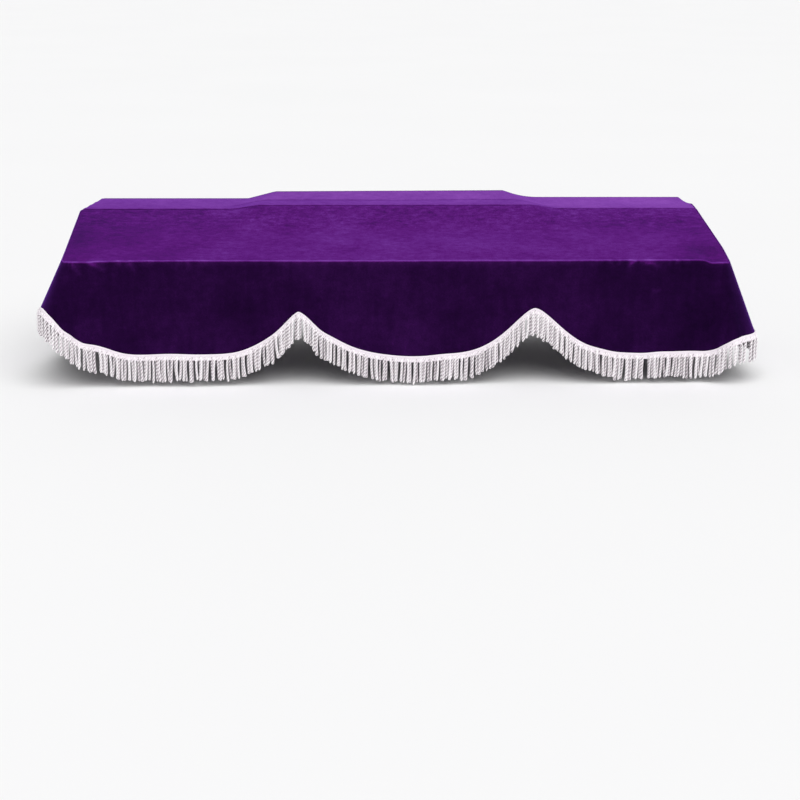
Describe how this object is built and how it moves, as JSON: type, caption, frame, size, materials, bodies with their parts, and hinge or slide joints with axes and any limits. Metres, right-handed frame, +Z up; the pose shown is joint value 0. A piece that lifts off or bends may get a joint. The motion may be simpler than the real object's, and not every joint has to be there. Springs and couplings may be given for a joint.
{
  "type": "piano keyboard cover",
  "caption": "Fitted velvet cover for a console piano keyboard: sloped top panel, skirts round the case, and a white looped fringe on a scalloped hem.",
  "frame": {"origin": "underside of the top panel, in the middle of its width and of its rear strip, where the covered case holds it up", "axes": "+X along the width to the right as seen from the front, +Y towards the back, +Z up"},
  "size_m": [1.5194, 0.4767, 0.3409],
  "materials": {
    "velvet": "soft purple velvet pile",
    "fringe": "white looped yarn on a woven tape"
  },
  "bodies": {
    "root": {"top_panel": "velvet", "front_skirt": "velvet", "left_skirt": "velvet", "right_skirt": "velvet", "back_skirt": "velvet", "front_fringe": "fringe", "left_fringe": "fringe", "right_fringe": "fringe"}
  },
  "joints": []
}
